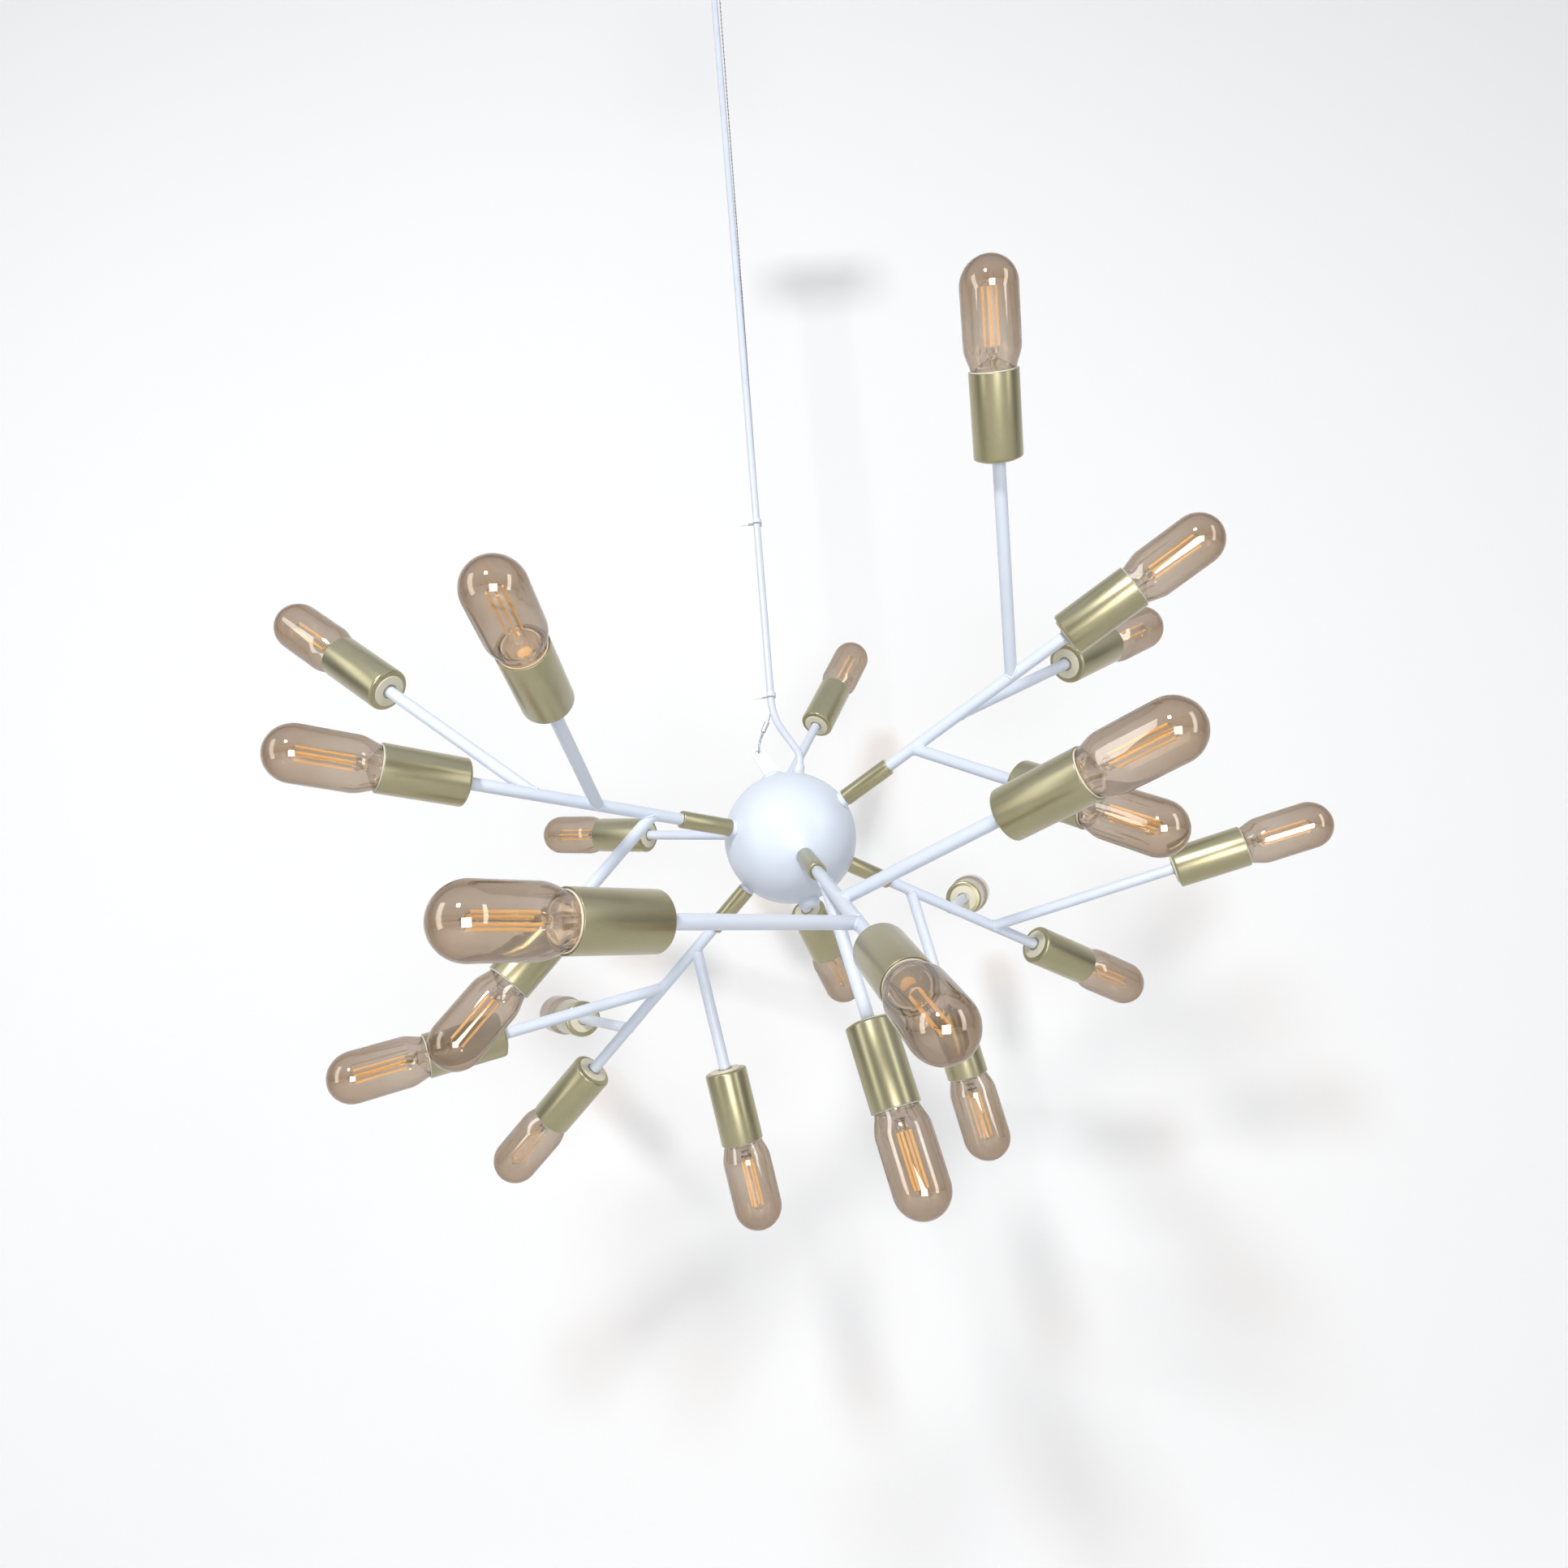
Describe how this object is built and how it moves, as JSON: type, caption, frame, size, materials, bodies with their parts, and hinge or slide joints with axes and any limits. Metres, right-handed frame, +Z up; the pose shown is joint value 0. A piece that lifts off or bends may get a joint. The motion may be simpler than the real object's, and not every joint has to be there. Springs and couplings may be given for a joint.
{
  "type": "sputnik chandelier",
  "caption": "Ceiling light with a ball hub on a wire and flex, straight arms that branch into brass-cupped tubular filament lamps, and a round ceiling canopy.",
  "frame": {"origin": "on the ceiling, in the middle of the bracket's top face, over the flex", "axes": "+Z up and out of the bracket's top face into the ceiling; the picture looks along +Y with +X to the right"},
  "size_m": [0.6369, 0.5946, 0.9588],
  "materials": {
    "white_paint": "satin white powder coat",
    "satin_brass": "satin, pale champagne brass",
    "holder_plastic": "moulded",
    "amber_glass": "clear amber tint",
    "steel_wire": "bright wire",
    "zinc_steel": "zinc plated",
    "aluminium_crimp": "crimped",
    "white_flex": "smooth sheath",
    "white_plastic": "moulded"
  },
  "bodies": {
    "hub": {"ceiling_bracket": "zinc_steel", "ceiling_canopy": "white_paint", "canopy_screws": "zinc_steel", "canopy_outlet": "white_plastic", "terminal_block": "white_plastic", "wire_ferrules": "aluminium_crimp", "suspension_wire": "steel_wire", "supply_flex": "white_flex", "flex_ties": "white_plastic", "hanger_tab": "white_paint", "hub_upper_shell": "white_paint", "hub_lower_shell": "white_paint", "hub_middle_rod": "zinc_steel", "bottom_finial": "white_paint", "arm_necks": "white_paint", "coupling_sleeves": "satin_brass", "flex_gland": "white_plastic", "hub_connector": "white_plastic"},
    "front_arm": {"arm_front": "white_paint", "cups_front": "satin_brass", "lampholders_front": "holder_plastic"},
    "front_inner_lamp": {"bulb_front_inner": "amber_glass"},
    "front_middle_lamp": {"bulb_front_middle": "amber_glass"},
    "front_outer_lamp": {"bulb_front_outer": "amber_glass"},
    "front_end_lamp": {"bulb_front_end": "amber_glass"},
    "right_upper_arm": {"arm_right_upper": "white_paint", "cups_right_upper": "satin_brass", "lampholders_right_upper": "holder_plastic"},
    "right_upper_inner_lamp": {"bulb_right_upper_inner": "amber_glass"},
    "right_upper_middle_lamp": {"bulb_right_upper_middle": "amber_glass"},
    "right_upper_outer_lamp": {"bulb_right_upper_outer": "amber_glass"},
    "right_upper_end_lamp": {"bulb_right_upper_end": "amber_glass"},
    "right_lower_arm": {"arm_right_lower": "white_paint", "cups_right_lower": "satin_brass", "lampholders_right_lower": "holder_plastic"},
    "right_lower_inner_lamp": {"bulb_right_lower_inner": "amber_glass"},
    "right_lower_middle_lamp": {"bulb_right_lower_middle": "amber_glass"},
    "right_lower_outer_lamp": {"bulb_right_lower_outer": "amber_glass"},
    "right_lower_end_lamp": {"bulb_right_lower_end": "amber_glass"},
    "back_arm": {"arm_back": "white_paint", "cups_back": "satin_brass", "lampholders_back": "holder_plastic"},
    "back_inner_lamp": {"bulb_back_inner": "amber_glass"},
    "back_middle_lamp": {"bulb_back_middle": "amber_glass"},
    "back_outer_lamp": {"bulb_back_outer": "amber_glass"},
    "back_end_lamp": {"bulb_back_end": "amber_glass"},
    "left_lower_arm": {"arm_left_lower": "white_paint", "cups_left_lower": "satin_brass", "lampholders_left_lower": "holder_plastic"},
    "left_lower_inner_lamp": {"bulb_left_lower_inner": "amber_glass"},
    "left_lower_middle_lamp": {"bulb_left_lower_middle": "amber_glass"},
    "left_lower_outer_lamp": {"bulb_left_lower_outer": "amber_glass"},
    "left_lower_end_lamp": {"bulb_left_lower_end": "amber_glass"},
    "left_upper_arm": {"arm_left_upper": "white_paint", "cups_left_upper": "satin_brass", "lampholders_left_upper": "holder_plastic"},
    "left_upper_inner_lamp": {"bulb_left_upper_inner": "amber_glass"},
    "left_upper_middle_lamp": {"bulb_left_upper_middle": "amber_glass"},
    "left_upper_outer_lamp": {"bulb_left_upper_outer": "amber_glass"},
    "left_upper_end_lamp": {"bulb_left_upper_end": "amber_glass"}
  },
  "joints": [
    {"name": "front_arm_turn", "type": "hinge", "parent": "hub", "child": "front_arm", "pos_m": [0.005, 0, -0.73], "axis": [0.1746, -0.8749, -0.4517], "range_deg": [-60, 60]},
    {"name": "front_inner_lamp_screw", "type": "hinge", "parent": "front_arm", "child": "front_inner_lamp", "pos_m": [0.03673, -0.08862, -0.84606], "axis": [0.2039, -0.0954, -0.9743], "range_deg": [0, 1080]},
    {"name": "front_middle_lamp_screw", "type": "hinge", "parent": "front_arm", "child": "front_middle_lamp", "pos_m": [0.10154, -0.17753, -0.76587], "axis": [0.7291, -0.6511, 0.2107], "range_deg": [0, 1080]},
    {"name": "front_outer_lamp_screw", "type": "hinge", "parent": "front_arm", "child": "front_outer_lamp", "pos_m": [-0.04997, -0.23012, -0.80833], "axis": [-0.6895, -0.7232, -0.0388], "range_deg": [0, 1080]},
    {"name": "front_end_lamp_screw", "type": "hinge", "parent": "front_arm", "child": "front_end_lamp", "pos_m": [0.03992, -0.17498, -0.82034], "axis": [0.1746, -0.8749, -0.4517], "range_deg": [0, 1080]},
    {"name": "right_upper_arm_turn", "type": "hinge", "parent": "hub", "child": "right_upper_arm", "pos_m": [0.005, 0, -0.73], "axis": [0.812, -0.4025, 0.4227], "range_deg": [-60, 60]},
    {"name": "right_upper_inner_lamp_screw", "type": "hinge", "parent": "right_upper_arm", "child": "right_upper_inner_lamp", "pos_m": [0.12976, -0.08221, -0.72737], "axis": [0.648, -0.5892, -0.4827], "range_deg": [0, 1080]},
    {"name": "right_upper_middle_lamp_screw", "type": "hinge", "parent": "right_upper_arm", "child": "right_upper_middle_lamp", "pos_m": [0.18616, -0.00127, -0.63355], "axis": [0.7651, 0.4887, 0.4192], "range_deg": [0, 1080]},
    {"name": "right_upper_outer_lamp_screw", "type": "hinge", "parent": "right_upper_arm", "child": "right_upper_outer_lamp", "pos_m": [0.1297, -0.14302, -0.56842], "axis": [-0.0633, -0.6398, 0.7659], "range_deg": [0, 1080]},
    {"name": "right_upper_end_lamp_screw", "type": "hinge", "parent": "right_upper_arm", "child": "right_upper_end_lamp", "pos_m": [0.16739, -0.08049, -0.64545], "axis": [0.812, -0.4025, 0.4227], "range_deg": [0, 1080]},
    {"name": "right_lower_arm_turn", "type": "hinge", "parent": "hub", "child": "right_lower_arm", "pos_m": [0.005, 0, -0.73], "axis": [0.796, 0.5091, -0.3275], "range_deg": [-60, 60]},
    {"name": "right_lower_inner_lamp_screw", "type": "hinge", "parent": "right_lower_arm", "child": "right_lower_inner_lamp", "pos_m": [0.09482, 0.05888, -0.8339], "axis": [0.2078, 0.1518, -0.9663], "range_deg": [0, 1080]},
    {"name": "right_lower_middle_lamp_screw", "type": "hinge", "parent": "right_lower_arm", "child": "right_lower_middle_lamp", "pos_m": [0.12898, 0.16209, -0.75195], "axis": [0.2244, 0.9553, 0.1926], "range_deg": [0, 1080]},
    {"name": "right_lower_outer_lamp_screw", "type": "hinge", "parent": "right_lower_arm", "child": "right_lower_outer_lamp", "pos_m": [0.2479, 0.04673, -0.76053], "axis": [0.9352, -0.2996, 0.1889], "range_deg": [0, 1080]},
    {"name": "right_lower_end_lamp_screw", "type": "hinge", "parent": "right_lower_arm", "child": "right_lower_end_lamp", "pos_m": [0.16419, 0.10182, -0.79551], "axis": [0.796, 0.5091, -0.3275], "range_deg": [0, 1080]},
    {"name": "back_arm_turn", "type": "hinge", "parent": "hub", "child": "back_arm", "pos_m": [0.005, 0, -0.73], "axis": [-0.1393, 0.9625, 0.2327], "range_deg": [-60, 60]},
    {"name": "back_inner_lamp_screw", "type": "hinge", "parent": "back_arm", "child": "back_inner_lamp", "pos_m": [0.01313, 0.14746, -0.75279], "axis": [0.2774, 0.7624, -0.5846], "range_deg": [0, 1080]},
    {"name": "back_middle_lamp_screw", "type": "hinge", "parent": "back_arm", "child": "back_middle_lamp", "pos_m": [-0.10167, 0.16888, -0.68281], "axis": [-0.8724, 0.4572, 0.1729], "range_deg": [0, 1080]},
    {"name": "back_outer_lamp_screw", "type": "hinge", "parent": "back_arm", "child": "back_outer_lamp", "pos_m": [0.03361, 0.20743, -0.59484], "axis": [0.424, 0.4177, 0.8036], "range_deg": [0, 1080]},
    {"name": "back_end_lamp_screw", "type": "hinge", "parent": "back_arm", "child": "back_end_lamp", "pos_m": [-0.02286, 0.19251, -0.68347], "axis": [-0.1393, 0.9625, 0.2327], "range_deg": [0, 1080]},
    {"name": "left_lower_arm_turn", "type": "hinge", "parent": "hub", "child": "left_lower_arm", "pos_m": [0.005, 0, -0.73], "axis": [-0.6901, 0.3658, -0.6245], "range_deg": [-60, 60]},
    {"name": "left_lower_inner_lamp_screw", "type": "hinge", "parent": "left_lower_arm", "child": "left_lower_inner_lamp", "pos_m": [-0.04695, 0.04719, -0.86192], "axis": [0.1608, 0.1733, -0.9717], "range_deg": [0, 1080]},
    {"name": "left_lower_middle_lamp_screw", "type": "hinge", "parent": "left_lower_arm", "child": "left_lower_middle_lamp", "pos_m": [-0.1729, 0.00485, -0.83225], "axis": [-0.8849, -0.4079, -0.2249], "range_deg": [0, 1080]},
    {"name": "left_lower_outer_lamp_screw", "type": "hinge", "parent": "left_lower_arm", "child": "left_lower_outer_lamp", "pos_m": [-0.15648, 0.16916, -0.81616], "axis": [-0.4049, 0.9052, 0.1291], "range_deg": [0, 1080]},
    {"name": "left_lower_end_lamp_screw", "type": "hinge", "parent": "left_lower_arm", "child": "left_lower_end_lamp", "pos_m": [-0.13301, 0.07317, -0.8549], "axis": [-0.6901, 0.3658, -0.6245], "range_deg": [0, 1080]},
    {"name": "left_upper_arm_turn", "type": "hinge", "parent": "hub", "child": "left_upper_arm", "pos_m": [0.005, 0, -0.73], "axis": [-0.8229, -0.5601, 0.0961], "range_deg": [-60, 60]},
    {"name": "left_upper_inner_lamp_screw", "type": "hinge", "parent": "left_upper_arm", "child": "left_upper_inner_lamp", "pos_m": [-0.12076, -0.06529, -0.77743], "axis": [-0.6479, -0.1738, -0.7417], "range_deg": [0, 1080]},
    {"name": "left_upper_middle_lamp_screw", "type": "hinge", "parent": "left_upper_arm", "child": "left_upper_middle_lamp", "pos_m": [-0.10402, -0.16959, -0.69153], "axis": [-0.0443, -0.9653, 0.2575], "range_deg": [0, 1080]},
    {"name": "left_upper_outer_lamp_screw", "type": "hinge", "parent": "left_upper_arm", "child": "left_upper_outer_lamp", "pos_m": [-0.2182, -0.0618, -0.63793], "axis": [-0.7361, 0.2437, 0.6315], "range_deg": [0, 1080]},
    {"name": "left_upper_end_lamp_screw", "type": "hinge", "parent": "left_upper_arm", "child": "left_upper_end_lamp", "pos_m": [-0.15957, -0.11201, -0.71079], "axis": [-0.8229, -0.5601, 0.0961], "range_deg": [0, 1080]}
  ]
}
